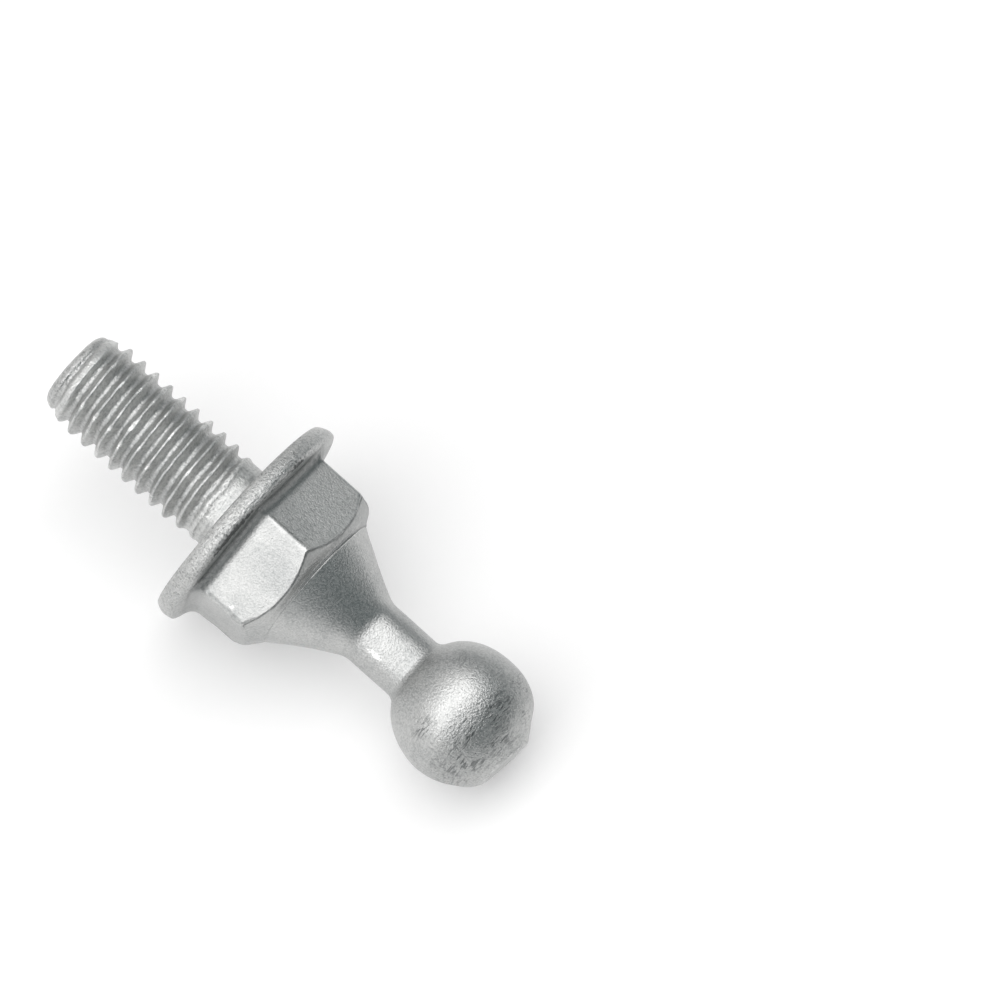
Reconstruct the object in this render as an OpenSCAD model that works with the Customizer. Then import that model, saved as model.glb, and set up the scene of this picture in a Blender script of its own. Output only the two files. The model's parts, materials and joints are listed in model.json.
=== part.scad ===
// Ball-headed mounting bolt for an engine cover, formed and rolled from one piece of steel.
// The stud's own axis runs from the ball's centre, height 0, to the end face of the thread.
// It lies on its ball and on the rim of its flange, with the threaded end raised.

/* [Ball end] */
// Diameter of the ball
ball_d = 7.9; // [6.5:0.1:9]
// Diameter of the flat on the ball's pole
ball_flat_d = 3.2; // [1:0.1:3.8]
// Diameter of the neck
neck_d = 3.95; // [3:0.05:4.8]
// Distance from the ball's centre to the cone
neck_reach = 7.15; // [6:0.05:10]
// Radius of the fillet between ball and neck
ball_fillet_r = 0.6; // [0.2:0.05:1]
// Radius of the fillet between neck and cone
cone_fillet_r = 0.5; // [0.2:0.05:1]

/* [Cone and hexagon] */
// Angle between the cone's side and the axis
cone_angle = 31; // [26:1:38]
// Diameter of the cone's wide end
cone_d = 8.5; // [7:0.1:9]
// Width of the ledge around the cone's wide end
ledge_w = 0.15; // [0.05:0.05:0.4]
// Width of the hexagon across its flats
hex_af = 10; // [9.5:0.1:10.8]
// Height of the hexagon from the ledge to the flange
hex_h = 4.4; // [3.5:0.1:8]
// How much the hexagon's corners are rounded off, across the corners
corner_trim = 0.15; // [0.05:0.05:0.4]
// Angle between the hexagon's chamfer and the axis
chamfer_angle = 50; // [40:1:60]
// Radius of the fillet between hexagon and flange
hex_fillet_r = 0.5; // [0.2:0.05:0.9]

/* [Flange] */
// Diameter of the flange
flange_d = 13.65; // [13:0.05:18]
// Thickness of the flange
flange_t = 1.3; // [1:0.05:2.5]
// Radius of the rim on the hexagon's side
rim_top_r = 0.67; // [0.3:0.01:0.8]
// Radius of the rim on the bearing side
rim_seat_r = 0.95; // [0.7:0.05:1.5]
// Height of the rounded rim on the bearing side
rim_seat_h = 0.63; // [0.3:0.01:0.7]

/* [Threaded stem] */
// Length of the stem under the flange
stem_len = 12.4; // [8:0.1:25]
// Diameter of the plain shank under the flange
shank_d = 5.3; // [5:0.05:5.5]
// Length of the plain shank
shank_len = 0.95; // [0.6:0.05:3]
// Radius of the fillet between flange and shank
seat_fillet_r = 0.35; // [0.1:0.05:0.5]
// Outer diameter of the thread
thread_d = 5.95; // [5.7:0.01:6]
// Pitch of the thread
pitch = 1; // [0.75:0.05:1.1]
// Turns over which the thread rises to its full height behind the shank
run_in_turns = 1.6; // [0.5:0.1:3]
// Length of the pointed end, over which the crests fall to the core
point_len = 1.7; // [1:0.05:3]
// Diameter of the end face
tip_d = 4.4; // [3.5:0.05:4.5]
// Length of the end's chamfer
tip_len = 0.3; // [0.1:0.05:0.6]

/* [Resting] */
// Angle from straight up to a hexagon's corner
rest_angle = -8; // [-30:1:30]
// Angle from a hexagon's corner to the first point of the thread
thread_start_angle = 187; // [0:1:360]

/* [Hidden] */
$fn = 96;
lap = 0.01;

ball_r = ball_d / 2;
neck_r = neck_d / 2;
cone_r = cone_d / 2;
flat_r = ball_flat_d / 2;
flat_z = sqrt(ball_r * ball_r - flat_r * flat_r);
hex_r = hex_af / 2;
corner_r = (hex_af / cos(30) - corner_trim) / 2;
flange_r = flange_d / 2;
shank_r = shank_d / 2;
thread_r = thread_d / 2;
tip_r = tip_d / 2;

// height in the hexagon where its fillet starts; the fillet's other end is sunk a little into the flange
foot_h = hex_h + lap - hex_fillet_r;

// places along the axis
cone_z = neck_reach + (cone_r - neck_r) / tan(cone_angle);
flange_z = cone_z + hex_h;
seat_z = flange_z + flange_t;
end_z = seat_z + stem_len;

// metric thread: flanks at 30 degrees to the radius, crest an eighth of the pitch wide
root_r = thread_r - 17 / 24 * cos(30) * pitch;
crest_half_w = pitch / 16;
turn_steps = 24;
ridge_foot = 0.05;
first_rise = 0.68;

// resting on the ball and on the rim: the floor touches two circles of the outline
rim_z = flange_z + rim_top_r;
rim_c = flange_r - rim_top_r;
rest_tilt = atan2(rim_c, rim_z) - asin((ball_r - rim_top_r) / norm([rim_c, rim_z]));
ball_end_x = flat_r > ball_r * sin(rest_tilt)
    ? flat_z * cos(rest_tilt) + flat_r * sin(rest_tilt)
    : ball_r;
thread_end_x = end_z * cos(rest_tilt) + tip_r * sin(rest_tilt);

// half outline of the ball with its flat pole; its centre is at height 0
module ball_outline() {
    intersection() {
        circle(ball_r);
        translate([0, -flat_z])
            square([ball_r, flat_z + ball_r]);
    }
}

// half outline of the fillet between the ball and the neck
module ball_fillet_outline() {
    centre = [neck_r + ball_fillet_r, sqrt(pow(ball_r + ball_fillet_r, 2) - pow(neck_r + ball_fillet_r, 2))];
    difference() {
        polygon([[0, 0], centre * ball_r / (ball_r + ball_fillet_r), centre, [0, centre.y]]);
        translate(centre)
            circle(ball_fillet_r);
    }
}

// half outline of the neck, the cone that widens from it and the core of the hexagon
module neck_outline() {
    polygon([
        [0, 0],
        [neck_r, 0],
        [neck_r, neck_reach],
        [cone_r, cone_z],
        [cone_r, flange_z + lap],
        [0, flange_z + lap]
    ]);
}

// half outline of the fillet between the neck and the cone
module cone_fillet_outline() {
    centre = [neck_r + cone_fillet_r, neck_reach - cone_fillet_r * tan(cone_angle / 2)];
    touch = centre + cone_fillet_r * [-cos(cone_angle), sin(cone_angle)];
    difference() {
        polygon([[0, centre.y], centre, touch, [0, touch.y]]);
        translate(centre)
            circle(cone_fillet_r);
    }
}

// half outline of the flange: a full round towards the hexagon and a flatter one to the bearing face
module flange_outline() {
    difference() {
        translate([0, flange_z])
            square([flange_r, flange_t]);
        translate([flange_r - rim_top_r, flange_z + rim_top_r])
            difference() {
                translate([0, -rim_top_r - lap])
                    square([rim_top_r + lap, rim_top_r + lap]);
                circle(rim_top_r);
            }
        translate([flange_r - rim_seat_r, seat_z - rim_seat_h])
            difference() {
                square([rim_seat_r + lap, rim_seat_h + lap]);
                circle(rim_seat_r);
            }
    }
}

// half outline of the plain shank with its fillet, the threaded core and its chamfered end
module stem_outline() {
    translate([0, seat_z]) {
        polygon([
            [0, -lap],
            [shank_r, -lap],
            [shank_r, shank_len],
            [root_r, shank_len],
            [root_r, stem_len - tip_len],
            [tip_r, stem_len],
            [0, stem_len]
        ]);
        difference() {
            translate([0, -lap])
                square([shank_r + seat_fillet_r, seat_fillet_r + lap]);
            translate([shank_r + seat_fillet_r, seat_fillet_r])
                circle(seat_fillet_r);
        }
    }
}

module turned_body() {
    rotate_extrude() {
        ball_outline();
        ball_fillet_outline();
        neck_outline();
        cone_fillet_outline();
        flange_outline();
        stem_outline();
    }
}

// half outline of the round that the hexagon is cut from: chamfer, corners and their fillet to the flange
module hexagon_outline() {
    chamfer_r = cone_r + ledge_w;
    chamfer_h = (corner_r - chamfer_r) / tan(chamfer_angle);
    difference() {
        polygon([
            [0, 0],
            [chamfer_r, 0],
            [corner_r, chamfer_h],
            [corner_r, foot_h],
            [corner_r + hex_fillet_r, foot_h],
            [corner_r + hex_fillet_r, hex_h + 2 * lap],
            [0, hex_h + 2 * lap]
        ]);
        translate([corner_r + hex_fillet_r, foot_h])
            circle(hex_fillet_r);
    }
}

// what is cut away outside one side of the hexagon, as an outline seen along that side
module side_cut_outline() {
    translate([hex_r, -lap])
        square([hex_r, foot_h + lap]);
    translate([hex_r + hex_fillet_r, foot_h])
        circle(hex_fillet_r);
    translate([hex_r + hex_fillet_r, -lap])
        square([hex_r, hex_h + 4 * lap]);
}

module hexagon() {
    cut_len = 3 * hex_r;
    translate([0, 0, cone_z])
        difference() {
            rotate_extrude()
                hexagon_outline();
            for (side = [0:5])
                rotate(30 + 60 * side)
                    translate([0, cut_len / 2, 0])
                        rotate([90, 0, 0])
                            linear_extrude(cut_len)
                                side_cut_outline();
        }
}

// half outline of the room for the thread: its crests, and the pointed end where they fall below the core
module thread_room_outline() {
    polygon([
        [0, seat_z],
        [thread_r + lap, seat_z],
        [thread_r + lap, end_z - point_len],
        [root_r - 2 * ridge_foot, end_z - tip_len],
        [0, end_z - tip_len]
    ]);
}

// right-hand ridge of the thread, swept along the helix and sunk a little into the core
module thread_ridge() {
    foot_r = root_r - ridge_foot;
    start_z = seat_z + shank_len;
    last = floor((end_z - start_z) / pitch * turn_steps);
    function risen(i) = min(1, first_rise + (1 - first_rise) * i / turn_steps / run_in_turns);
    function half_w(r) = crest_half_w + (thread_r - r) * tan(30);
    function spot(r, a, z) = [r * cos(a), r * sin(a), z];
    function ring(i) =
        let (
            a = thread_start_angle + 360 * i / turn_steps,
            z = start_z + pitch * i / turn_steps,
            crest_r = foot_r + (thread_r - foot_r) * risen(i)
        )
        [
            spot(foot_r, a, z - half_w(foot_r)),
            spot(crest_r, a, z - half_w(crest_r)),
            spot(crest_r, a, z + half_w(crest_r)),
            spot(foot_r, a, z + half_w(foot_r))
        ];
    points = [for (i = [0:last]) each ring(i)];
    near = [for (i = [0:last - 1], k = [0:3]) [4 * i + k, 4 * i + (k + 1) % 4, 4 * i + 4 + (k + 1) % 4]];
    far = [for (i = [0:last - 1], k = [0:3]) [4 * i + k, 4 * i + 4 + (k + 1) % 4, 4 * i + 4 + k]];
    ends = [[3, 2, 1, 0], [4 * last, 4 * last + 1, 4 * last + 2, 4 * last + 3]];
    intersection() {
        polyhedron(points, concat(near, far, ends), convexity = 20);
        rotate_extrude()
            thread_room_outline();
    }
}

module ball_stud() {
    color("silver")
        translate([(thread_end_x - ball_end_x) / 2, 0, ball_r])
            rotate([0, rest_tilt - 90, 0])
                rotate(rest_angle) {
                    turned_body();
                    hexagon();
                    thread_ridge();
                }
}

ball_stud();
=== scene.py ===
"""Ball-headed mounting bolt: one forged and rolled piece, zinc coated, on its ball and flange."""
import json
import math

import bmesh
import bpy
from mathutils import Matrix, Vector, noise


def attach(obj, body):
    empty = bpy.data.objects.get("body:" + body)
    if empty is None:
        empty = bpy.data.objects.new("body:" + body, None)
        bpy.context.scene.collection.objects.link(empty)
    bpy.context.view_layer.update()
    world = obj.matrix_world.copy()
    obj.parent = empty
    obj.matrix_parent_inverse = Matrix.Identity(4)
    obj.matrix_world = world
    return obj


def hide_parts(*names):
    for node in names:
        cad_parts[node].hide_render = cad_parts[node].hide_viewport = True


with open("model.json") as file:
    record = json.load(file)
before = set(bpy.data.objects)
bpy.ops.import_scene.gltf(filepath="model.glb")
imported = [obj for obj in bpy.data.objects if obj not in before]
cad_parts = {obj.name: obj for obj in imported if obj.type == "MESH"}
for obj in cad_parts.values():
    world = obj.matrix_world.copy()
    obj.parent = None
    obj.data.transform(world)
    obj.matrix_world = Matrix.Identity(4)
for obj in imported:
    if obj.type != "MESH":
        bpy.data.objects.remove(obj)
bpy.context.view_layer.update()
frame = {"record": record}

MM = 0.001

# Columns of the mesh around the bolt.
AROUND = 216

# Points closer together than the first are one point, and faces narrower than the second are
# dropped, in metres.
WELD_GAP = 2e-7
NO_WIDTH = 1e-7

# Sizes in millimetres. Heights run along the bolt's own axis from the ball's centre to the
# thread's end.
BALL_R = 3.95
BALL_BAND = 0.08
FLAT_DEPTH = 3.58
NECK_R = 1.97
NECK_FILLET_R = 0.6
CONE_END_Z = 10.86
CONE_END_R = 4.2
LEDGE_END_R = 4.3
CHAMFER_Z = 10.95
CHAMFER_R = 4.37
CHAMFER_SLOPE = math.tan(math.radians(50))
HEX_R = 5.0
HEX_CORNER_R = 0.28
HEX_MIDDLE_Z = 12.7
HEX_FOOT_Z = 14.62
HEX_FILLET_R = 0.66
FLANGE_Z = 15.41
FLANGE_R = 6.82
RIM_TOP_WIDE = 0.92
RIM_TOP_HIGH = 0.38
RIM_SEAT_R = 1.3
RIM_SEAT_H = 0.84
SEAT_Z = 16.635
SEAT_FILLET_R = 0.35
SHANK_R = 2.655
RUN_IN_Z = 17.3
THREAD_Z = 17.57
PITCH = 1.0
CREST_R = 2.9
ROOT_R = 2.405
END_Z = 29.08

# Angles in degrees: how far the ball's flat is out of square, the first corner of the hexagon from
# the side that faces the camera, the thread's first point from that corner, and the turn of the
# bolt about its own axis as it rests.
FLAT_TILT = 6.9
CORNER_FACING = 9.4
THREAD_START_TURN = 187
REST_TURN = -8

# Rise of the bolt's axis and its level run, over a length of 1, as it rests on its ball and rim.
REST_RISE = 0.173767
REST_RUN = 0.984787

# What the finish reads on each point of the mesh.
MASKS = ("bare_edge", "hollow", "raw_skin", "streaked_and_shaded", "scuffed", "painted_coat_light")

ball_mount = next(m for m in frame["record"]["mounts"] if m["name"] == "ball")


def turn_facing(turn):
    """Angle in degrees from the camera's side, -180 to 180, of a turn from the first corner."""
    return (math.degrees(turn) + CORNER_FACING + 180) % 360 - 180


def from_facing(degrees):
    """Turn from the first corner, in radians, of a place at an angle from the camera's side."""
    return math.radians(degrees - CORNER_FACING)


def soft_min(a, b, k):
    """The smaller of two lengths, with a round of size k where they meet."""
    h = max(k - abs(a - b), 0.0) / k
    return min(a, b) - h * h * k / 4


def soft_max(a, b, k):
    """The larger of two lengths, with a round of size k where they meet."""
    return -soft_min(-a, -b, k)


def ramp(x, a, b):
    """Smooth rise from 0 at a to 1 at b."""
    t = min(1.0, max(0.0, (x - a) / (b - a)))
    return t * t * (3 - 2 * t)


def bump_at(x, centre, width):
    """A smooth bump of height 1 and the given half width."""
    t = abs(x - centre) / width
    return 0.0 if t >= 1 else (1 - t * t) ** 2


def angle_gap(a, b):
    """Smallest difference between two angles, in radians."""
    return (a - b + math.pi) % (2 * math.pi) - math.pi


def bump_round(turn, degrees, width):
    """A smooth bump around the bolt at an angle from the camera's side, with its half width."""
    return bump_at(math.degrees(angle_gap(turn, from_facing(degrees))), 0.0, width)


def toward_side(turn, degrees):
    """Cosine of the angle to a place at an angle from the camera's side."""
    return math.cos(turn - from_facing(degrees))


def round_noise(turn, scale, along):
    """Smooth noise between about -1 and 1 on a round skin."""
    return noise.noise(Vector((math.cos(turn) * scale, math.sin(turn) * scale, along)))


def unevenness(z, turn, scale, seed):
    """Unevenness of the forged skin, drawn out along the bolt."""
    return round_noise(turn, scale, z * scale * 0.35 + seed)


def wander(along, seed):
    """Smooth unevenness between about -1 and 1 along a line."""
    return noise.noise(Vector((along, seed, 0.0)))


def column_turns():
    """Turns of the mesh's columns, closer together at the six corners."""
    turns = []
    for i in range(AROUND):
        turn = 2 * math.pi * i / AROUND
        turns.append(turn - 0.7 / 6 * math.sin(6 * turn))
    return turns


TURNS = column_turns()
CLOSED_TURNS = TURNS + [TURNS[0] + 2 * math.pi]


# A row of the mesh is a list of points (height, radius, bare edge, hollow), one for each column.
# Hollow is painted shade.

def even_row(z, r, hollow=0.0):
    """A row that is the same all round."""
    return [(z, r, 0.0, hollow)] * AROUND


def ball_swell(polar, turn):
    """How far the ball stands off a true sphere, at an angle in radians from the flat's pole."""
    angle = math.degrees(polar)
    far_half = max(0.0, toward_side(turn, 90))
    near_half = max(0.0, toward_side(turn, -90))
    far_swell = 0.06 * bump_at(angle, 62, 30) + 0.065 * bump_at(angle, 127, 34)
    far_swell -= 0.11 * bump_at(angle, 29, 17) + 0.09 * bump_at(angle, 40, 14)
    near_swell = 0.09 * bump_at(angle, 41, 15) - 0.045 * bump_at(angle, 112, 28)
    return far_half * far_swell + near_half * near_swell


def pole_rows():
    """The ball's pole: a flat left by the forging die, a little out of square, with a soft burr."""
    rows = []
    tilt = math.radians(FLAT_TILT)
    low_side, burr_side = from_facing(-90), from_facing(40)
    flat_angle = math.acos(FLAT_DEPTH / BALL_R)
    steps = [(True, q) for q in (0.12, 0.3, 0.5, 0.68, 0.82, 0.9, 0.95, 0.98, 1.0)]
    steps += [(False, q) for q in (0.012, 0.03, 0.06, 0.11)]
    steps += [(False, q / 100) for q in range(17, 95, 7)]
    for on_flat, q in steps:
        row = []
        for turn in TURNS:
            a = math.cos(tilt)
            b = math.sin(tilt) * math.cos(turn - low_side)
            flat_edge = math.atan2(b, a) + math.acos(math.cos(flat_angle) / math.hypot(a, b))
            polar = flat_edge * q if on_flat else flat_edge + (math.pi / 2 - flat_edge) * q
            toward_flat = math.cos(polar) * a + math.sin(polar) * b
            r = BALL_R if toward_flat <= 0.5 else soft_min(BALL_R, FLAT_DEPTH / toward_flat, 0.05)
            near_edge = bump_at(q if on_flat else 1 + 3 * q, 1.0, 0.16)
            burr = near_edge * (0.5 + 0.5 * math.cos(turn - burr_side)) ** 4
            uneven = 0.012 * near_edge * unevenness(0, turn, 5.0, 3.1)
            r += ball_swell(polar, turn) + 0.10 * burr + uneven
            if on_flat:
                r += 0.02 * unevenness(polar * 6, turn, 1.7 * q, 8.4) * (1 - near_edge)
            row.append((-r * math.cos(polar), r * math.sin(polar), 0.7 * near_edge, 0.0))
        rows.append(row)
    return rows


def neck_shift(z, turn):
    """The neck and the cone sit a little off the axis, as the two dies did."""
    neck = 0.04 * ramp(z, 3.0, 4.2) * (1 - ramp(z, 6.5, 8.5)) * toward_side(turn, 90)
    neck -= 0.05 * bump_at(z, 8.2, 1.6) * max(0.0, toward_side(turn, -90))
    cone = -0.07 * ramp(z, 9.6, 10.8) * toward_side(turn, 80)
    return neck + cone


def ball_neck_rows():
    """The rest of the ball past its parting seam, and its fillet to the neck."""
    rows = []
    seam_steps = (
        (-0.16, 0.0), (-0.07, 0.004), (-0.035, 0.016),
        (0.0, 0.02), (0.03, 0.01), (BALL_BAND, 0.0),
    )
    for z, lift in seam_steps:
        row = []
        for turn in TURNS:
            seam = 0.4 * lift * bump_round(turn, -45, 50)
            seam += 0.1 * lift * unevenness(0.0, turn, 3.0, 1.3)
            row.append((z, math.sqrt(BALL_R ** 2 - min(z, 0.0) ** 2) + seam, 0.0, 0.0))
        rows.append(row)
    centre_r = NECK_R + NECK_FILLET_R
    centre_z = math.sqrt((BALL_R + NECK_FILLET_R) ** 2 - centre_r ** 2)
    last = math.atan2(centre_r, centre_z)
    count = 17
    for n in range(1, count + 1):
        polar = math.pi / 2 + (last - math.pi / 2) * n / count
        row = []
        for turn in TURNS:
            r = BALL_R + ball_swell(math.pi - polar, turn) * ramp(count - n, 0, 4)
            row.append((BALL_BAND + r * math.cos(polar), r * math.sin(polar), 0.0, 0.0))
        rows.append(row)
    count = 9
    for n in range(1, count + 1):
        a = last + (math.pi / 2 - last) * n / count
        z = BALL_BAND + centre_z - NECK_FILLET_R * math.cos(a)
        r = centre_r - NECK_FILLET_R * math.sin(a)
        # Painted shade in the fillet to the neck.
        hollow = 0.1 * math.sin(math.pi * n / count)
        rows.append([(z, r + neck_shift(z, turn), 0.0, hollow) for turn in TURNS])
    return rows


def cone_radius(z):
    """Radius of the neck and of the slightly hollow cone that widens from it."""
    back = CONE_END_Z - z
    side = CONE_END_R - 0.665 * back + 0.023 * back * back
    return soft_max(NECK_R, side, 0.16)


def cone_rows():
    """The plain neck and the cone."""
    rows = []
    cone_from = 7.42
    heights = [4.15, 4.5, 4.9, 5.3, 5.7, 6.1, 6.45, 6.7]
    heights += [6.85, 6.95, 7.03, 7.1, 7.17, 7.24, 7.32, cone_from]
    heights += [cone_from + (CONE_END_Z - 0.03 - cone_from) * n / 13 for n in range(1, 14)]
    for z in heights:
        row = []
        for turn in TURNS:
            r = cone_radius(z) + neck_shift(z, turn) + 0.012 * unevenness(z, turn, 1.6, 5.2)
            row.append((z, r, 0.0, 0.0))
        rows.append(row)
    return rows


def ledge_side(turn):
    """1 on the side where the ledge is widest, 0 where cone and chamfer run into each other."""
    return 0.5 + 0.5 * toward_side(turn, 75)


def ledge_end_radius(turn):
    """Radius at which the ledge ends and the chamfer starts."""
    return LEDGE_END_R + 0.02 * ledge_side(turn)


def ledge_rows():
    """The ledge from cone to hexagon, wider on one side, with the thin flash of the dies on it."""
    rows = []
    # The last value of each step is painted shade in the small groove past the flash.
    steps = (
        (0.0, 0.0, 0.0, 0.0), (0.1, 0.028, 0.6, 0.0), (0.2, 0.045, 1.0, 0.0),
        (0.3, 0.03, 0.6, 0.0), (0.42, 0.0, 0.0, 0.6), (0.6, -0.02, 0.0, 0.9),
        (0.8, -0.008, 0.0, 0.6), (1.0, 0.0, 0.0, 0.2),
    )
    for along, rise, edge, hollow in steps:
        row = []
        for turn in TURNS:
            wide = ledge_side(turn)
            inner = CONE_END_R + neck_shift(CONE_END_Z, turn)
            outer = ledge_end_radius(turn)
            z = CONE_END_Z + (0.05 + 0.13 * wide) * along
            r = inner + (outer - inner) * (0.25 * along + 0.75 * along ** 3)
            r += rise * (0.12 + 0.88 * bump_round(turn, 45, 60))
            r += 0.008 * unevenness(z, turn, 6.0, 2.2) * edge
            row.append((z, r, 1.6 * edge * bump_round(turn, 38, 48), hollow * (0.3 + 0.6 * wide)))
        rows.append(row)
    return rows


def past_corner(turn):
    """Angle past the nearest corner of the hexagon, in radians, below zero before it."""
    sixth = math.pi / 3
    turn -= math.radians(1.2) * bump_at(angle_gap(turn, 0.0), 0.0, math.radians(28))
    return (turn + sixth / 2) % sixth - sixth / 2


def hexagon_radius(turn):
    """Distance from the axis to the hexagon's side or to its rounded corner."""
    gap = abs(past_corner(turn))
    half = math.pi / 6
    middle = (HEX_R - HEX_CORNER_R) / math.cos(half)
    touch = math.atan2(HEX_CORNER_R * math.sin(half), middle + HEX_CORNER_R * math.cos(half))
    swell = 0.11 * bump_round(turn, -104, 48)
    if gap < touch:
        corner = math.sqrt(HEX_CORNER_R ** 2 - (middle * math.sin(gap)) ** 2)
        return swell + middle * math.cos(gap) + corner
    return swell + HEX_R / math.cos(half - gap)


def chamfer_radius(z, turn):
    """Radius of the chamfer, a little fuller on one side and slightly uneven."""
    fuller = 0.22 * bump_round(turn, 12, 85)
    uneven = 0.022 * unevenness(0.0, turn, 9.0, 3.3)
    return CHAMFER_R + fuller + uneven + (z - CHAMFER_Z) * CHAMFER_SLOPE


def arc_height(side, turn):
    """Height at which the chamfer meets a side of the hexagon that is so far from the axis."""
    return CHAMFER_Z + (side - chamfer_radius(CHAMFER_Z, turn)) / CHAMFER_SLOPE


def hexagon_foot(z, turn):
    """How far the hexagon widens towards the flange on one side."""
    return 0.10 * ramp(z, 13.4, 14.9) * bump_round(turn, -104, 60)


def hexagon_rows():
    """Chamfer and sides of the hexagon, with rounded corners and slightly uneven sides."""
    rows = []
    # Stretch 0 runs up the chamfer to its arc, 1 to the middle of the side and 2 to its foot.
    steps = [(0, q) for q in (0.0, 0.12, 0.25, 0.4, 0.55, 0.7, 0.82, 0.9, 0.95, 0.98, 1.0)]
    steps += [(1, q) for q in (0.015, 0.04, 0.08, 0.15, 0.25, 0.38, 0.52, 0.68, 0.84, 1.0)]
    steps += [(2, q) for q in (0.16, 0.33, 0.5, 0.66, 0.8, 0.91, 1.0)]
    for stretch, q in steps:
        row = []
        for turn in TURNS:
            side = hexagon_radius(turn)
            arc = arc_height(side, turn)
            wide = ledge_side(turn)
            first = CONE_END_Z + 0.06 + 0.15 * wide
            ends = (first, arc, HEX_MIDDLE_Z, HEX_FOOT_Z)
            z = ends[stretch] + (ends[stretch + 1] - ends[stretch]) * q

            step_down = chamfer_radius(first, turn) - ledge_end_radius(turn)
            from_ledge = 1 - ramp(z, first, first + 0.14 + 0.22 * wide)
            chamfer = chamfer_radius(z, turn) - step_down * from_ledge
            past = past_corner(turn)
            at_corner = 1 - ramp(abs(past), math.radians(4), math.radians(11))
            upper = ramp(-turn_facing(turn), 47, 56)
            soft = 0.03 + 0.22 * at_corner * (1 - bump_round(turn, 10, 40)) + 0.25 * upper
            r = soft_min(side, chamfer, soft)
            r -= 0.006 * bump_at(z, arc - 0.03, 0.04) * (1 - upper)
            r += hexagon_foot(z, turn) + 0.008 * unevenness(z * 2, turn, 2.4, 7.7)

            corner = bump_at(abs(past), 0.0, math.radians(2.6)) * ramp(z, 11.9, 12.3)
            broken = 0.85 + 0.7 * unevenness(0, turn, 7.0, 21.0)
            broken += 0.6 * unevenness(0, turn, 24.0, 5.5)
            broken += 0.7 * bump_at(abs(past), 0.0, math.radians(4))
            # Painted shade: a broken dark line along the arc where chamfer meets side, a line
            # beside each corner, and a darker chamfer on the ledge's wide side.
            line = arc - 0.045 + 0.035 * unevenness(0, turn, 15.0, 8.1)
            dark = bump_at(z, line, 0.07) * broken * (1 - 0.95 * upper)
            beside = bump_at(past, math.radians(1.9), math.radians(1.5)) * ramp(z, 12.1, 12.4)
            hollow = 1.7 * dark + 0.7 * beside + 0.24 * wide * (1 - ramp(z, arc - 0.1, arc))
            row.append((z, r, 0.25 * corner, min(1.0, hollow)))
        rows.append(row)
    return rows


def flange_top(r, turn):
    """Height of the flange's face towards the hexagon, which falls away at the rim."""
    face = FLANGE_Z + 0.10 * bump_round(turn, 100, 70) + 0.05 * bump_round(turn, -95, 60)
    out = min(1.0, max(0.0, (r - FLANGE_R + RIM_TOP_WIDE) / RIM_TOP_WIDE))
    return face + (FLANGE_Z + RIM_TOP_HIGH - face) * (1 - math.sqrt(1 - out * out))


def rim_wave(turn, z):
    """The flange's rim is a little uneven all round, as a forged rim is."""
    wave = 0.04 * bump_round(turn, -85, 60)
    wave += 0.018 * unevenness(z * 0.6, turn, 3.2, 11.0)
    return wave + 0.010 * unevenness(z, turn, 9.0, 4.0)


def seat_lean(turn):
    """The bearing face stands a little farther out on one side."""
    return 0.13 * bump_round(turn, -95, 75)


def clear_of_floor(r, z):
    """A radius of the rim, held back where the floor touches it as the bolt rests."""
    return soft_min(r, (BALL_R + REST_RISE * z) / REST_RUN, 0.03)


def flange_top_rows():
    """Fillet from the hexagon to the flange, the flange's face and the first part of its rim."""
    rows = []
    count = 30
    for n in range(count + 1):
        q = n / count
        shift = 0.5 - 0.5 * math.cos(math.pi * q)
        row = []
        for turn in TURNS:
            wall = hexagon_radius(turn) + hexagon_foot(15.0, turn)
            r = wall + (FLANGE_R - 0.0005 - wall) * (0.35 * q + 0.65 * shift)
            depth = min(1.0, (r - wall) / HEX_FILLET_R)
            fillet = HEX_FILLET_R * (1 - math.sqrt(max(0.0, 1 - (1 - depth) ** 2)))
            z = flange_top(r, turn) - fillet
            # Painted shade in the fillet from the hexagon to the flange, less on the upper side.
            hollow = ramp(z, 14.78, 14.88) * (1 - ramp(r - wall, 0.62, 0.82))
            hollow *= 1 - 0.75 * ramp(-turn_facing(turn), 47, 62)
            hollow *= 0.62 + 0.38 * bump_at(z, 15.27, 0.24)
            rim = ramp(r, 6.3, FLANGE_R)
            row.append((z, clear_of_floor(r + rim * rim_wave(turn, z), z), 0.0, 0.82 * hollow))
        rows.append(row)
    return rows


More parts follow.
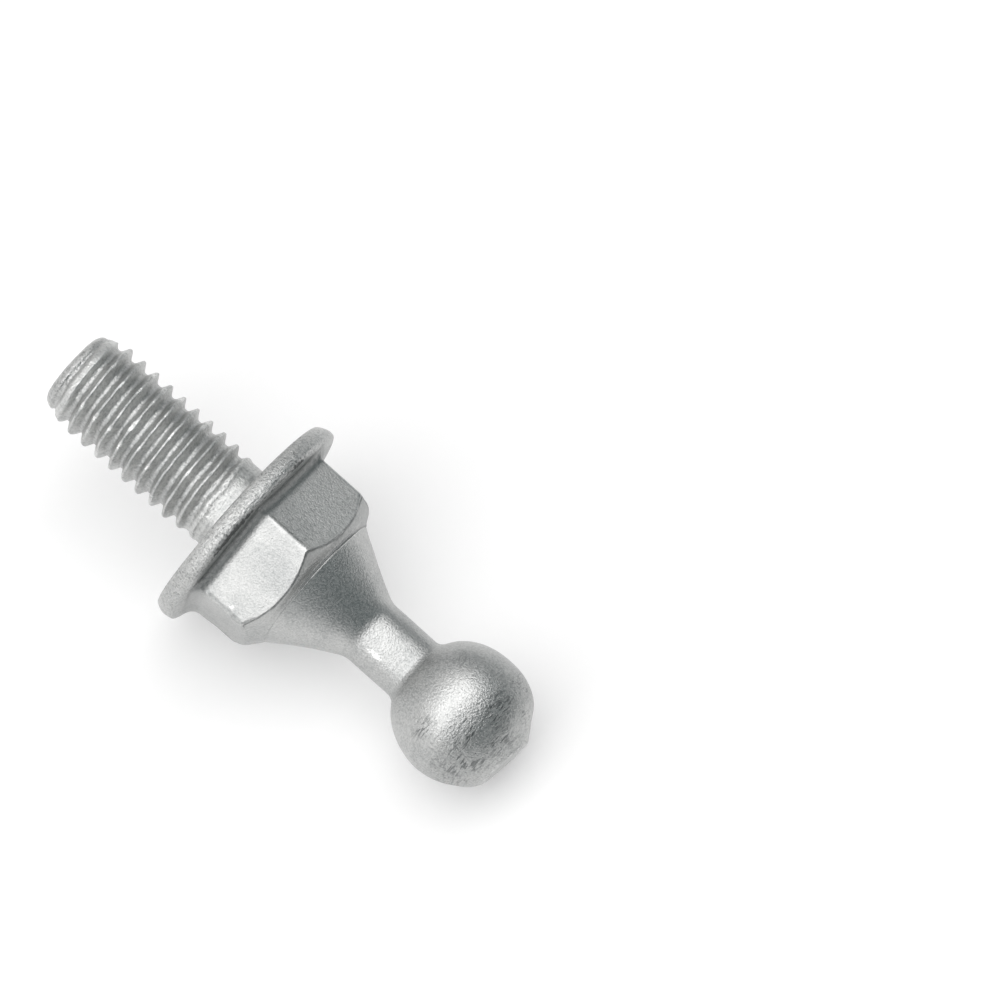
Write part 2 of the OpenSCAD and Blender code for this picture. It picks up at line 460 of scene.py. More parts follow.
def flange_seat_rows():
    """The rest of the flange's rim, its bearing face, and the fillet to the plain shank."""
    middle_r = FLANGE_R - RIM_SEAT_R
    middle_z = SEAT_Z - RIM_SEAT_H
    z = (FLANGE_Z + RIM_TOP_HIGH + middle_z) / 2
    rows = [[(z, clear_of_floor(FLANGE_R + rim_wave(turn, z), z), 0.0, 0.0) for turn in TURNS]]
    last = math.asin(RIM_SEAT_H / RIM_SEAT_R)
    count = 9
    for n in range(count + 1):
        a = last * n / count
        z = middle_z + RIM_SEAT_R * math.sin(a)
        fade = 1 - 0.7 * n / count
        row = []
        for turn in TURNS:
            high = z + seat_lean(turn) * ramp(n, 0, count)
            full = 0.09 * bump_round(turn, -90, 70) * math.sin(math.pi / 2 * n / count)
            r = middle_r + RIM_SEAT_R * math.cos(a) + fade * rim_wave(turn, z) + full
            row.append((high, clear_of_floor(r, high), 0.0, 0.0))
        rows.append(row)
    for r in (6.46, 6.35, 6.0, 5.5, 4.9, 4.3, 3.8, 3.4, 3.15):
        row = []
        for turn in TURNS:
            z = SEAT_Z + seat_lean(turn) * ramp(r, 3.4, 6.6)
            z += 0.006 * unevenness(r, turn, 2.0, 6.5) * ramp(r, 3.2, 3.8)
            row.append((z, r, 0.0, 0.0))
        rows.append(row)
    count = 7
    for n in range(count + 1):
        a = math.pi / 2 * n / count
        z = SEAT_Z + SEAT_FILLET_R - SEAT_FILLET_R * math.cos(a)
        r = SHANK_R + SEAT_FILLET_R - SEAT_FILLET_R * math.sin(a)
        # Painted shade in the fillet to the shank.
        rows.append(even_row(z, r, hollow=0.25 * math.sin(math.pi * n / count)))
    return rows + [even_row(z, SHANK_R) for z in (17.05, 17.12, 17.2, RUN_IN_Z)]


def thread_profile(part):
    """Radius of the full thread, part of a pitch away from the middle of the crest."""
    away = abs(part) * PITCH
    flank = CREST_R - (away - PITCH / 16) / math.tan(math.radians(30))
    crest = soft_min(CREST_R, flank, 0.10)
    return soft_max(crest, ROOT_R, 0.14)


def point_radius(z):
    """The pointed end: the room that is left for the crests."""
    places = (
        (26.6, 3.2), (27.2, 2.97), (27.9, 2.73), (28.3, 2.6),
        (28.7, 2.46), (28.95, 2.32), (END_Z, 2.1),
    )
    if z <= places[0][0]:
        return places[0][1]
    for (z0, r0), (z1, r1) in zip(places, places[1:]):
        if z <= z1:
            return r0 + (r1 - r0) * (z - z0) / (z1 - z0)
    return places[-1][1]


# Dents in the crests: height along the bolt, angle from the camera's side, width and depth.
CREST_DENTS = (
    (21.94, -29, 0.17, 0.05),
    (22.94, -20, 0.14, 0.035),
    (23.93, -31, 0.18, 0.06),
    (24.0, -5, 0.27, 0.10),
    (24.95, -23, 0.19, 0.06),
    (25.94, -25, 0.21, 0.07),
    (26.94, -27, 0.18, 0.06),
    (28.0, -6, 0.2, 0.05),
    (21.0, 110, 0.2, 0.06),
    (23.6, 165, 0.18, 0.05),
    (25.4, 205, 0.22, 0.06),
    (20.2, 240, 0.16, 0.05),
)


def crest_dent(z, turn):
    """Depth of the deepest dent at a place on the crests."""
    deepest = 0.0
    for dent_z, dent_facing, width, depth in CREST_DENTS:
        if abs(z - dent_z) < width:
            along = angle_gap(turn, from_facing(dent_facing)) * CREST_R
            far = math.hypot(along / 1.5, z - dent_z) / width
            if far < 1:
                deepest = max(deepest, depth * min(1.0, 1.7 * (1 - far * far)))
    return deepest


def crest_seam(coil, part):
    """The two lips of rolled metal that meet along the crest and leave a fine open seam."""
    middle = 0.016 * wander(coil * 31.0, 5.2)
    open_seam = max(0.0, 0.55 + 0.9 * wander(coil * 14.0, 6.1))
    high_lip = max(0.0, 0.4 + wander(coil * 20.0, 0.3))
    cut = bump_at(part, 0.004 + middle, 0.026) * 0.035 * open_seam
    lip = bump_at(part, -0.04 + middle, 0.035) * 0.018 * high_lip
    return lip - cut


def thread_point(z, turn, coil):
    """A point of the thread at a height, with its place along the helix counted in turns."""
    # The small number keeps the middle of a groove with the crest before it.
    nearest = math.floor(coil + 0.5 - 1e-7)
    part = coil - nearest
    along = nearest + turn / (2 * math.pi)

    length = (z - part * PITCH - THREAD_Z) / PITCH
    begun = ramp(length, -0.1, 0.25)
    risen = begun * (0.2 + 0.8 * ramp(length, 0.4, 2.3))
    sunk = ramp(length - 1 if part < 0 else length, -0.15, 0.6)
    part += 0.055 * wander(along * 11.0, 2.7) + 0.03 * wander(along * 29.0, 7.3)
    full = thread_profile(part)
    r = SHANK_R + (risen if full > SHANK_R else sunk) * (full - SHANK_R)
    r += risen * crest_seam(along, part)
    r += 0.02 * begun * round_noise(turn, 11.0, z * 4.5 + 17.0)

    worn = 0.08 * max(0.0, wander(along * 26.0, 4.4) - 0.05) + crest_dent(z, turn)
    if risen > 0.6:
        r = soft_min(r, CREST_R + 0.004 - worn, 0.012)
    room = point_radius(z) + 0.012 * unevenness(z, turn, 3.0, 9.9)
    cut_back = ramp(r - room, -0.05, 0.05)
    r = soft_min(r, room, 0.05)

    crest = bump_at(part, 0.0, 0.085)
    # Painted shade in the thread's roots.
    hollow = 1 - ramp(r, ROOT_R, ROOT_R + 0.3)
    nick = 2.2 * ramp(worn, 0.012, 0.045) * ramp(r, CREST_R - worn - 0.05, CREST_R - worn - 0.02)
    return z, r, max(0.55 * crest * risen, 0.35 * cut_back, nick), 0.12 * hollow * risen


def thread_rows():
    """The rolled thread, with rows that follow the helix, its run-in and its pointed end."""
    half = [0.0, 0.018, 0.036, 0.056, 0.08, 0.12, 0.19, 0.28, 0.36, 0.43]
    parts = half + [0.5] + [1 - p for p in reversed(half[1:])]
    base = THREAD_Z - PITCH * THREAD_START_TURN / 360
    last_coil = int((END_Z - base) / PITCH + 1)
    rows = []
    for step in range(-2 * len(parts), last_coil * len(parts) + 1):
        whole, place = divmod(step, len(parts))
        row = []
        for turn in CLOSED_TURNS:
            share = turn / (2 * math.pi)
            z = min(END_Z, max(RUN_IN_Z, base + PITCH * (whole + parts[place] + share)))
            row.append(thread_point(z, turn, (z - base) / PITCH - share))
        rows.append(row)
    return rows


def end_rows():
    """The end face: a rolled-over lip, part of it parted from the face by an open fold."""
    rows = []
    steps = [(2.05, 0.018, 0.8), (1.98, 0.026, 0.9), (1.92, 0.02, 0.4)]
    steps += [(1.88, 0.005, 0.0), (1.84, -0.004, 0.0)]
    steps += [(r, 0.0, 0.0) for r in (1.79, 1.7, 1.55, 1.35, 1.1, 0.85, 0.6, 0.35, 0.15)]
    for r, rise, edge in steps:
        row = []
        for turn in TURNS:
            gap = angle_gap(turn, from_facing(150))
            reach = max(0.0, 1 - (gap / 0.95) ** 2)
            wide = 0.035 + 0.06 * bump_at(gap, 0.1, 0.25)
            fold = bump_at(r, 1.84 + 0.05 * wander(gap * 3.0, 1.9), wide) * math.sqrt(reach)
            face = 0.012 * unevenness(r * 3, turn, 1.2 * r, 12.5) * ramp(2.0 - r, 0.1, 0.3)
            lip = rise * (0.4 + 0.6 * math.cos(gap / 2) ** 2 + 0.5 * unevenness(0, turn, 5.0, 4.9))
            # Painted shade in the open fold.
            row.append((END_Z + lip + face - 0.16 * fold, r, edge, 0.9 * fold))
        rows.append(row)
    return rows


def raw_skin(z, r):
    """How coarse the skin is: most on the flange's rim, then on the end, ball and thread."""
    if z < 3.5:
        return 0.45 + 0.3 * (1 - ramp(z, -1.2, 0.6))
    if FLANGE_Z - 0.3 < z < SEAT_Z + 0.1 and r > 3.2:
        return 0.25 + 0.75 * ramp(r, 5.9, 6.4)
    if z > 17.4:
        return 0.7 + 0.2 * ramp(z, 28.2, 28.9)
    return 0.36 - 0.12 * ramp(r, 4.3, 4.8)


def ball_marks_and_shade(z, turn):
    """Where the ball carries short dark marks, in a band on the pole's side and in two patches; the
    same places get a soft painted shade.
    """
    band = bump_at(z, -2.0, 2.0) * (0.5 + 0.5 * bump_round(turn, 2, 90))
    patches = bump_at(z, 0.88, 1.0) * bump_round(turn, -31, 22)
    patches += 0.8 * bump_at(z, 1.78, 0.9) * bump_round(turn, 44, 22)
    return min(1.0, 1.2 * band + patches)


def rim_scuff(z, r, turn):
    """Where the flange's rim is scuffed dark."""
    if not FLANGE_Z - 0.05 < z < FLANGE_Z + 0.7 or r < 6.0:
        return 0.0
    patches = bump_round(turn, -10, 23) + 0.7 * bump_round(turn, 41, 10)
    patches += 0.35 * bump_round(turn, 18, 45) + 0.3 * bump_round(turn, -160, 60)
    return min(1.0, patches) * bump_at(r, 6.54, 0.36)


def painted_coat_light(z, r, turn):
    """Where light is painted into the coat's colour: on the thread's flanks, and less on one side
    of the hexagon.
    """
    if z > THREAD_Z - 0.2:
        return ramp(r, ROOT_R + 0.04, ROOT_R + 0.14) * (1 - ramp(r, CREST_R - 0.14, CREST_R - 0.05))
    if not 11.0 < z < 14.8:
        return 0.0
    past_first = turn_facing(turn) - CORNER_FACING
    arc = arc_height(hexagon_radius(turn), turn)
    on_side = ramp(past_first, 0, 2) * (1 - ramp(past_first, 58, 60))
    return 0.75 * on_side * ramp(z, arc, arc + 0.08) * (1 - ramp(z, 14.4, 14.8))


def stem_shift(z):
    """How far the stem stands off the line of ball, neck and flange."""
    far = 0.015 * ramp(z, 16.3, 16.8)
    side = from_facing(90)
    return far * math.cos(side), far * math.sin(side)


def stud_frame():
    """Matrix from the bolt's axes, in millimetres, to the frame, from the record's ball mount."""
    along = -Vector(ball_mount["axis"]).normalized()
    side = Vector((0.0, 1.0, 0.0))
    up = side.cross(along).normalized()
    axes = Matrix((up, side, along)).transposed().to_4x4()
    rest_turn = Matrix.Rotation(math.radians(REST_TURN), 4, "Z")
    return Matrix.Translation(Vector(ball_mount["pos_m"])) @ axes @ rest_turn @ Matrix.Scale(MM, 4)


def make_skin():
    """Mesh of the whole bolt, with the values that its finish reads."""
    place = stud_frame()
    points, own_places, faces = [], [], []
    masks = {name: [] for name in MASKS}
    last = AROUND - 1

    def add_point(own, *values):
        """Adds a point with its value in each mask."""
        points.append(place @ own)
        own_places.append(own)
        for name, value in zip(MASKS, values):
            masks[name].append(value)

    def add_rows(rows, turns):
        """Adds rows with the faces between them, and gives where the first and last row start."""
        starts = []
        for row in rows:
            starts.append(len(points))
            for (z, r, edge, hollow), turn in zip(row, turns):
                x, y = stem_shift(z)
                own = Vector((r * math.cos(turn) + x, r * math.sin(turn) + y, z))
                marks = ball_marks_and_shade(z, turn), rim_scuff(z, r, turn), painted_coat_light(z, r, turn)
                add_point(own, edge, hollow, raw_skin(z, r), *marks)
        closed = len(turns) == AROUND
        for a, b in zip(starts, starts[1:]):
            join(a, b, last if closed else AROUND)
            if closed:
                faces.append((a + last, a, b, b + last))
        return starts[0], starts[-1]

    def join(a, b, count):
        """Adds a strip of faces between two rows, given where they start."""
        faces.extend((a + i, a + i + 1, b + i + 1, b + i) for i in range(count))

    def add_cap(z, start, outward):
        """Closes a row with a fan of faces around a middle point."""
        centre = len(points)
        add_point(Vector((0.0, 0.0, z)), 0.0, 0.0, raw_skin(z, 0.0), 0.0, 0.0, 0.0)
        for i in range(AROUND):
            a, b = start + i, start + (i + 1) % AROUND
            faces.append((centre, b, a) if outward else (centre, a, b))

    plain = pole_rows() + ball_neck_rows() + cone_rows() + ledge_rows() + hexagon_rows()
    pole, shank = add_rows(plain + flange_top_rows() + flange_seat_rows(), TURNS)
    add_cap(-FLAT_DEPTH / math.cos(math.radians(FLAT_TILT)), pole, True)
    thread_first, thread_last = add_rows(thread_rows(), CLOSED_TURNS)
    join(shank, thread_first, last)
    faces.append((shank + last, shank, thread_first + AROUND, thread_first + last))
    end_first, end_last = add_rows(end_rows(), TURNS)
    join(thread_last, end_first, last)
    faces.append((thread_last + last, thread_last + AROUND, end_first, end_first + last))
    add_cap(END_Z, end_last, False)

    mesh = bpy.data.meshes.new("stud_skin")
    mesh.from_pydata(points, [], faces)
    places = mesh.attributes.new("own_place", "FLOAT_VECTOR", "POINT")
    places.data.foreach_set("vector", [c for own in own_places for c in own])
    for name, values in masks.items():
        layer = mesh.attributes.new(name, "FLOAT", "POINT")
        layer.data.foreach_set("value", values)
    return mesh


def weld(mesh):
    """Welds the points that meet, drops faces with no area and turns the skin outward."""
    bm = bmesh.new()
    bm.from_mesh(mesh)
    bmesh.ops.remove_doubles(bm, verts=bm.verts, dist=WELD_GAP)
    bmesh.ops.dissolve_degenerate(bm, edges=bm.edges, dist=NO_WIDTH)
    bmesh.ops.recalc_face_normals(bm, faces=bm.faces)
    bm.to_mesh(mesh)
    bm.free()
    for face in mesh.polygons:
        face.use_smooth = True


def add_stud():
    """One closed skin over the whole bolt, in its zinc coat."""
    mesh = make_skin()
    weld(mesh)
    mesh.materials.append(zinc_coat())
    stud = bpy.data.objects.new("stud_skin", mesh)
    bpy.context.scene.collection.objects.link(stud)
    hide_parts("ball_stud")
    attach(stud, "root")


def new_group(name, inputs, outputs):
    """A shader node group with named inputs (name, kind, value) and outputs of plain values."""
    group = bpy.data.node_groups.new(name, "ShaderNodeTree")
    for label, kind, value in inputs:
        socket = group.interface.new_socket(label, in_out="INPUT", socket_type=kind)
        if value is not None:
            socket.default_value = value
    for label in outputs:
        group.interface.new_socket(label, in_out="OUTPUT", socket_type="NodeSocketFloat")
    given = group.nodes.new("NodeGroupInput").outputs
    return group, given, group.nodes.new("NodeGroupOutput").inputs


def node(tree, kind, **settings):
    """A new node with its settings."""
    made = tree.nodes.new(kind)
    for key, value in settings.items():
        setattr(made, key, value)
    return made


def feed(tree, socket, value):
    """Sets a socket to a value, or links another node's output to it."""
    if isinstance(value, (int, float, tuple)):
        socket.default_value = value
    else:
        tree.links.new(value, socket)


def maths(tree, operation, *values, clamp=False):
    """Output of a Math node."""
    made = node(tree, "ShaderNodeMath", operation=operation, use_clamp=clamp)
    for socket, value in zip(made.inputs, values):
        feed(tree, socket, value)
    return made.outputs[0]


def vector_maths(tree, operation, *values):
    """Node that works on vectors."""
    made = node(tree, "ShaderNodeVectorMath", operation=operation)
    for socket, value in zip(made.inputs, values):
        feed(tree, socket, value)
    return made


def smooth_range(tree, value, **ends):
    """Smooth step of a value between the ends of a Map Range node."""
    made = node(tree, "ShaderNodeMapRange", interpolation_type="SMOOTHSTEP")
    feed(tree, made.inputs["Value"], value)
    for label, end in ends.items():
        made.inputs[label.replace("_", " ")].default_value = end
    return made.outputs["Result"]


def noise_mask(tree, place, scale, detail, low, high, distortion=0.0):
    """Noise cut to a mask that rises from 0 at low to 1 at high."""
    texture = node(tree, "ShaderNodeTexNoise")
    settings = (("Vector", place), ("Scale", scale), ("Detail", detail), ("Distortion", distortion))
    for label, value in settings:
        feed(tree, texture.inputs[label], value)
    return smooth_range(tree, texture.outputs["Fac"], From_Min=low, From_Max=high)


def put_group(tree, group, **values):
    """Outputs of a node group placed in a tree with its own values."""
    made = node(tree, "ShaderNodeGroup", node_tree=group)
    for label, value in values.items():
        feed(tree, made.inputs[label], value)
    return made.outputs


def mix_colour(tree, share, a, b):
    """Colour that goes from a to b with the share."""
    made = node(tree, "ShaderNodeMix", data_type="RGBA")
    for socket, value in ((0, share), (6, a), (7, b)):
        feed(tree, made.inputs[socket], value)
    return made.outputs[2]


def coat_grain_group():
    """Grain of the zinc coat: fine specks, coarser mottle, open pits, and the height they give."""
    group, given, result = new_group(
        "coat_grain",
        (
            ("Place", "NodeSocketVector", None),
            ("Fine", "NodeSocketFloat", 10.0),
            ("Coarse", "NodeSocketFloat", 3.0),
            ("Raw", "NodeSocketFloat", 0.3),
        ),
        ("Speck", "Mottle", "Pit", "Height"),
    )
    place, raw, coarse = given["Place"], given["Raw"], given["Coarse"]
    speck = noise_mask(group, place, given["Fine"], 1.0, 0.34, 0.66)
    mottle = noise_mask(group, place, coarse, 3.0, 0.32, 0.68)
    pit = noise_mask(group, place, maths(group, "MULTIPLY", coarse, 1.6), 3.0, 0.54, 0.66)
    pit = maths(group, "MULTIPLY", pit, maths(group, "MULTIPLY_ADD", raw, 1.3, -0.15, clamp=True))
    height = maths(group, "MULTIPLY", speck, maths(group, "MULTIPLY_ADD", raw, 1.3, 0.2))
    mottle_height = maths(group, "MULTIPLY_ADD", raw, 1.8, -0.2)
    height = maths(group, "MULTIPLY_ADD", mottle, mottle_height, height)
    height = maths(group, "MULTIPLY_ADD", pit, -1.1, height)
    for label, value in (("Speck", speck), ("Mottle", mottle), ("Pit", pit), ("Height", height)):
        group.links.new(value, result[label])
    return group


def cloud_group():
    """Soft clouds of lighter and darker coating."""
    group, given, result = new_group(
        "coat_clouds",
        (("Place", "NodeSocketVector", None), ("Size", "NodeSocketFloat", 0.45)),
        ("Cloud",),
    )
    cloud = noise_mask(group, given["Place"], given["Size"], 4.0, 0.3, 0.72, distortion=0.4)
    group.links.new(cloud, result["Cloud"])
    return group


def streak_group():
    """Fine marks that run round the bolt, such as a blasted and tumbled turned skin keeps."""
    group, given, result = new_group(
        "round_streaks",
        (("Place", "NodeSocketVector", None), ("Streaked", "NodeSocketFloat", 0.0)),
        ("Streak",),
    )
    stretch = vector_maths(group, "MULTIPLY", given["Place"], (1.8, 1.8, 10.5)).outputs[0]
    lines = noise_mask(group, stretch, 1.0, 3.0, 0.48, 0.60)
    patches = noise_mask(group, given["Place"], 0.62, 3.0, 0.40, 0.56)
    streak = maths(group, "MULTIPLY", maths(group, "MULTIPLY", lines, patches), given["Streaked"])
    group.links.new(streak, result["Streak"])
    return group


def edge_rub_group():
    """Rubbed edges: where the coat is thin and the steel is smoother and brighter."""
    group, given, result = new_group(
        "edge_rub",
        (
            ("Place", "NodeSocketVector", None),
            ("Edge", "NodeSocketFloat", 0.0),
            ("Break", "NodeSocketFloat", 2.6),
        ),
        ("Rub",),
    )
    broken = noise_mask(group, given["Place"], given["Break"], 3.0, 0.34, 0.6)
    group.links.new(maths(group, "MULTIPLY", given["Edge"], broken, clamp=True), result["Rub"])
    return group


def scrape_and_glint_group():
    """A small burnished scrape whose brightness is a painted glint, with its middle and how steeply
    it ends along each of the axes.
    """
    group, given, result = new_group(
        "small_scrape_and_glint",
        (
            ("Place", "NodeSocketVector", None),
            ("Middle", "NodeSocketVector", None),
            ("Tightness", "NodeSocketVector", None),
        ),
        ("Scrape and glint",),
    )
    away = vector_maths(group, "SUBTRACT", given["Place"], given["Middle"]).outputs[0]
    scaled = vector_maths(group, "MULTIPLY", away, given["Tightness"]).outputs[0]
    far = vector_maths(group, "LENGTH", scaled).outputs["Value"]
    ragged = noise_mask(group, given["Place"], 6.0, 2.0, 0.3, 0.7)
    reach = maths(group, "MULTIPLY_ADD", ragged, 0.7, far)
    glinting_scrape = smooth_range(group, reach, From_Min=0.8, From_Max=1.3, To_Min=1.0, To_Max=0.0)
    group.links.new(glinting_scrape, result["Scrape and glint"])
    return group


def own_spot(facing, r, z):
    """A place in the bolt's millimetres, by its angle from the camera's side, radius and height."""
    turn = from_facing(facing)
    return (r * math.cos(turn), r * math.sin(turn), z)


# Colours of the coat and of what shows through it or lies in it, and of the shade and light painted
# into it.
DARK_COAT = (0.355, 0.364, 0.363, 1)
LIGHT_COAT = (0.455, 0.459, 0.453, 1)
MOTTLED_COAT = (0.58, 0.58, 0.572, 1)
SPECKED_COAT = (0.72, 0.72, 0.71, 1)
PAINTED_LIGHT_COAT = (0.66, 0.665, 0.655, 1)
PIT_DARK = (0.14, 0.145, 0.145, 1)
MARK_AND_SHADE_DARK = (0.15, 0.157, 0.157, 1)
SCUFF_DARK = (0.07, 0.073, 0.073, 1)
HOLLOW_SHADE_DARK = (0.13, 0.137, 0.137, 1)
BARE_STEEL = (0.80, 0.80, 0.79, 1)

# Depth of the grain, in metres.
GRAIN_DEPTH = 0.000016


def zinc_coat():
    """Satin zinc coat over forged steel."""
    material = bpy.data.materials.new("satin_zinc_coat")
    material.use_nodes = True
    tree = material.node_tree
    shader = tree.nodes["Principled BSDF"]
    place = node(tree, "ShaderNodeAttribute", attribute_name="own_place").outputs["Vector"]
    edge, hollow, raw, streaked_and_shaded, scuffed, painted_light = (
        node(tree, "ShaderNodeAttribute", attribute_name=name).outputs["Fac"] for name in MASKS
    )
    grain = put_group(tree, coat_grain_group(), Place=place, Fine=9.5, Coarse=5.0, Raw=raw)
    mottle, speck = grain["Mottle"], grain["Speck"]
    cloud = put_group(tree, cloud_group(), Place=place, Size=0.45)["Cloud"]
    streak = put_group(tree, streak_group(), Place=place, Streaked=streaked_and_shaded)["Streak"]
    rub = put_group(tree, edge_rub_group(), Place=place, Edge=edge, Break=2.6)["Rub"]
    glinting_scrape = scrape_and_glint_group()
    on_neck, on_side = (
        put_group(tree, glinting_scrape, Place=place, Middle=middle, Tightness=tightness)["Scrape and glint"]
        for middle, tightness in (
            (own_spot(-23, 1.97, 5.63), (4.0, 4.0, 1.8)),
            (own_spot(-46, 5.53, 13.15), (6.5, 6.5, 6.0)),
        )
    )
    # Two small scrapes: smoother steel, with a painted glint in their colour.
    scrape_and_glint = maths(tree, "MAXIMUM", on_neck, on_side)

    mottled = maths(tree, "MULTIPLY", mottle, maths(tree, "MULTIPLY_ADD", raw, 0.4, 0.14))
    # Painted light: a lighter coat on the thread's flanks and on one side of the hexagon, broken by
    # the mottle.
    painted_lighter = maths(tree, "MULTIPLY", painted_light, maths(tree, "MULTIPLY_ADD", mottle, 0.62, 0.12))
    marks_and_shade = maths(tree, "MULTIPLY", streak, 0.82)
    # A soft painted shade wherever the ball's marks lie, most in the band on the pole's side.
    marks_and_shade = maths(tree, "MULTIPLY_ADD", streaked_and_shaded, 0.14, marks_and_shade, clamp=True)
    scuff = maths(tree, "MULTIPLY_ADD", scuffed, 2.7, -0.25)
    scuff = maths(tree, "MULTIPLY_ADD", mottle, -1.3, scuff, clamp=True)
    # Painted shade in fillets, grooves, thread roots and folds, a little broken by the mottle.
    hollow_shade = maths(tree, "MULTIPLY_ADD", mottle, -0.3, 1.1)
    hollow_shade = maths(tree, "MULTIPLY", hollow, hollow_shade, clamp=True)
    colour = mix_colour(tree, cloud, DARK_COAT, LIGHT_COAT)
    layers = (
        (mottled, MOTTLED_COAT),
        (maths(tree, "MULTIPLY", speck, 0.4), SPECKED_COAT),
        (maths(tree, "MULTIPLY", grain["Pit"], 0.5), PIT_DARK),
        (painted_lighter, PAINTED_LIGHT_COAT),
        (marks_and_shade, MARK_AND_SHADE_DARK),
        (maths(tree, "MULTIPLY", scuff, 0.85), SCUFF_DARK),
        (maths(tree, "MULTIPLY", hollow_shade, 0.85), HOLLOW_SHADE_DARK),
        (maths(tree, "MULTIPLY", rub, 0.5), BARE_STEEL),
        (maths(tree, "MULTIPLY", scrape_and_glint, 0.6), BARE_STEEL),
    )
    for share, layer in layers:
        colour = mix_colour(tree, share, colour, layer)
    tree.links.new(colour, shader.inputs["Base Color"])

    rough = maths(tree, "MULTIPLY_ADD", cloud, -0.05, 0.42)
    rough = maths(tree, "MULTIPLY_ADD", speck, 0.06, rough)
    rough = maths(tree, "MULTIPLY_ADD", rub, -0.14, rough)
    rough = maths(tree, "MULTIPLY_ADD", scrape_and_glint, -0.08, rough, clamp=True)
    tree.links.new(rough, shader.inputs["Roughness"])
    shader.inputs["Metallic"].default_value = 1.0

    bump = node(tree, "ShaderNodeBump")
    bump.inputs["Strength"].default_value = 0.6
    bump.inputs["Distance"].default_value = GRAIN_DEPTH
    height = maths(tree, "MULTIPLY_ADD", streak, -0.6, grain["Height"])
    tree.links.new(height, bump.inputs["Height"])
    tree.links.new(bump.outputs["Normal"], shader.inputs["Normal"])
    return material


# Camera as the photograph was taken: from high on the right, with a long lens.
VIEW_BEARING = math.radians(40.9)
VIEW_HEIGHT = math.radians(66.7)
CAMERA_AWAY = 0.6354
CAMERA_LENS = 414.0

# Where the camera looks: millimetres from the ball's centre, to the right and up in the picture.
AIM_RIGHT = 2.05
AIM_TOP = 11.85

# Ways in the picture: out of it to the camera, to its right and to its top, then along the bolt to
# its thread and across the bolt.
LEVEL_WAY = Vector((math.sin(VIEW_BEARING), -math.cos(VIEW_BEARING), 0.0))
CAMERA_WAY = LEVEL_WAY * math.cos(VIEW_HEIGHT) + Vector((0.0, 0.0, math.sin(VIEW_HEIGHT)))
RIGHT_WAY = Vector((math.cos(VIEW_BEARING), math.sin(VIEW_BEARING), 0.0))
TOP_WAY = CAMERA_WAY.cross(RIGHT_WAY)
THREAD_WAY = -RIGHT_WAY * 0.748 + TOP_WAY * 0.664
SIDE_WAY = RIGHT_WAY * 0.664 + TOP_WAY * 0.748


def add_camera():
    """Camera with a long lens and no depth of field."""
    aim = Vector(ball_mount["pos_m"]) + (RIGHT_WAY * AIM_RIGHT + TOP_WAY * AIM_TOP) * MM
    data = bpy.data.cameras.new("camera")
    data.sensor_width = 36.0
    data.lens = CAMERA_LENS
    data.clip_start = 0.01
    data.clip_end = 10.0
    camera = bpy.data.objects.new("camera", data)
    axes = Matrix((RIGHT_WAY, TOP_WAY, CAMERA_WAY)).transposed().to_4x4()
    camera.matrix_world = Matrix.Translation(aim + CAMERA_WAY * CAMERA_AWAY) @ axes
    bpy.context.scene.collection.objects.link(camera)
    bpy.context.scene.camera = camera


def leant(way, to, degrees):
    """A way leant towards another that is square to it."""
    angle = math.radians(degrees)
    return way * math.cos(angle) + to * math.sin(angle)


def facing_axes(way, across):
    """Axes of a flat thing that stands out along a way and faces back: across, up and out."""
    out = way.normalized()
    across = (across - out * across.dot(out)).normalized()
    return across, out.cross(across), out


def add_lamp(name, way, away, across, wide, high, level):
    """A soft box that faces the bolt. Its level is its brightness, where 1 is a white card."""
    data = bpy.data.lights.new(name, "AREA")
    data.shape = "RECTANGLE"
    data.size = wide
    data.size_y = high
    data.energy = level * math.pi * wide * high
    lamp = bpy.data.objects.new(name, data)
    axes = facing_axes(way, across)
    lamp.matrix_world = Matrix.Translation(axes[2] * away) @ Matrix(axes).transposed().to_4x4()
    lamp.visible_camera = False
    bpy.context.scene.collection.objects.link(lamp)


def add_stage(name, points, faces, material):
    """A piece of the studio, which isn't part of the bolt."""
    data = bpy.data.meshes.new(name)
    data.from_pydata(points, [], faces)
    data.materials.append(material)
    piece = bpy.data.objects.new(name, data)
    bpy.context.scene.collection.objects.link(piece)
    return piece


def matt_material(name, colour, roughness, glow):
    """A matt finish with no sheen and a glow of its own."""
    material = bpy.data.materials.new(name)
    material.use_nodes = True
    shader = material.node_tree.nodes["Principled BSDF"]
    shader.inputs["Base Color"].default_value = (*colour, 1)
    shader.inputs["Roughness"].default_value = roughness
    shader.inputs["Specular IOR Level"].default_value = 0.0
    shader.inputs["Emission Color"].default_value = (*glow, 1)
    shader.inputs["Emission Strength"].default_value = 1.0
    return material, shader


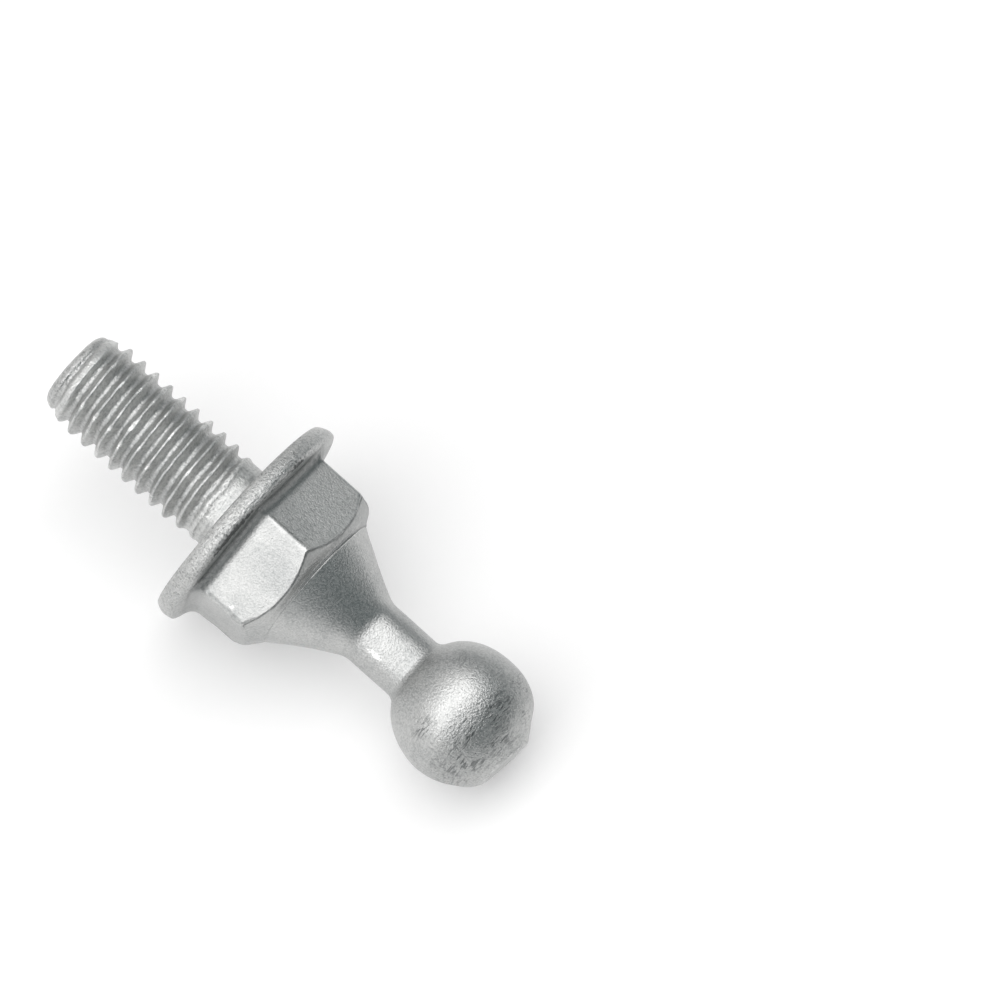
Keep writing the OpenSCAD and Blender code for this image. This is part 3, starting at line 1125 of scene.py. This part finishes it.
def add_card(name, way, away, across, wide, high, glow):
    """A card that only the bolt's gloss sees, as a photographer's flag beside the camera."""
    across, up, out = facing_axes(way, across)
    corners = ((-1, -1), (1, -1), (1, 1), (-1, 1))
    points = [out * away + across * (a * wide / 2) + up * (b * high / 2) for a, b in corners]
    material, _ = matt_material(name, (0.0, 0.0, 0.0), 1.0, glow)
    card = add_stage(name, points, [(0, 1, 2, 3)], material)
    card.visible_camera = False
    card.visible_diffuse = False
    card.visible_shadow = False
    card.visible_transmission = False


def add_floor():
    """Large pale floor, which the camera and the bolt's gloss see a little paler."""
    half = 3.0
    steps = 6
    spots = [half * (2 * i / steps - 1) for i in range(steps + 1)]
    points = [(x, y, 0.0) for y in spots for x in spots]
    corners = [j * (steps + 1) + i for j in range(steps) for i in range(steps)]
    faces = [(a, a + 1, a + steps + 2, a + steps + 1) for a in corners]
    material, shader = matt_material("pale_floor", (0.76, 0.76, 0.76), 0.9, (1.0, 1.0, 1.0))
    tree = material.node_tree
    path = node(tree, "ShaderNodeLightPath").outputs
    seen = maths(tree, "MAXIMUM", path["Is Camera Ray"], path["Is Glossy Ray"])
    tree.links.new(maths(tree, "MULTIPLY", seen, 0.25), shader.inputs["Emission Strength"])
    add_stage("floor", points, faces, material)


def add_world():
    """Plain grey surroundings."""
    world = bpy.data.worlds.new("studio")
    world.use_nodes = True
    bpy.context.scene.world = world
    surroundings = world.node_tree.nodes["Background"]
    surroundings.inputs["Color"].default_value = (0.42, 0.42, 0.42, 1)
    surroundings.inputs["Strength"].default_value = 1.0


def add_light():
    """One soft box above the stem, two dark flags and a pale card beyond the thread."""
    key_way = leant(CAMERA_WAY, THREAD_WAY, 22)
    dark_way = leant(leant(CAMERA_WAY, -THREAD_WAY, 46), SIDE_WAY, 22)
    low_way = Vector((SIDE_WAY.x, SIDE_WAY.y, 0.0)).normalized() + Vector((0.0, 0.0, 0.11))
    bounce_way = leant(CAMERA_WAY, THREAD_WAY, 76)
    add_lamp("soft_box", key_way, 0.5, SIDE_WAY, 1.9, 0.4, 2.1)
    add_card("dark_card", dark_way, 0.4, SIDE_WAY, 1.9, 0.36, (0.104, 0.14, 0.146))
    add_card("side_flag", low_way, 0.3, THREAD_WAY, 1.0, 0.064, (0.066, 0.113, 0.125))
    add_card("bounce_card", bounce_way, 0.4, SIDE_WAY, 0.9, 0.22, (0.95, 0.95, 0.95))


add_stud()
add_camera()
add_floor()
add_world()
add_light()
bpy.context.scene.view_settings.view_transform = "Standard"
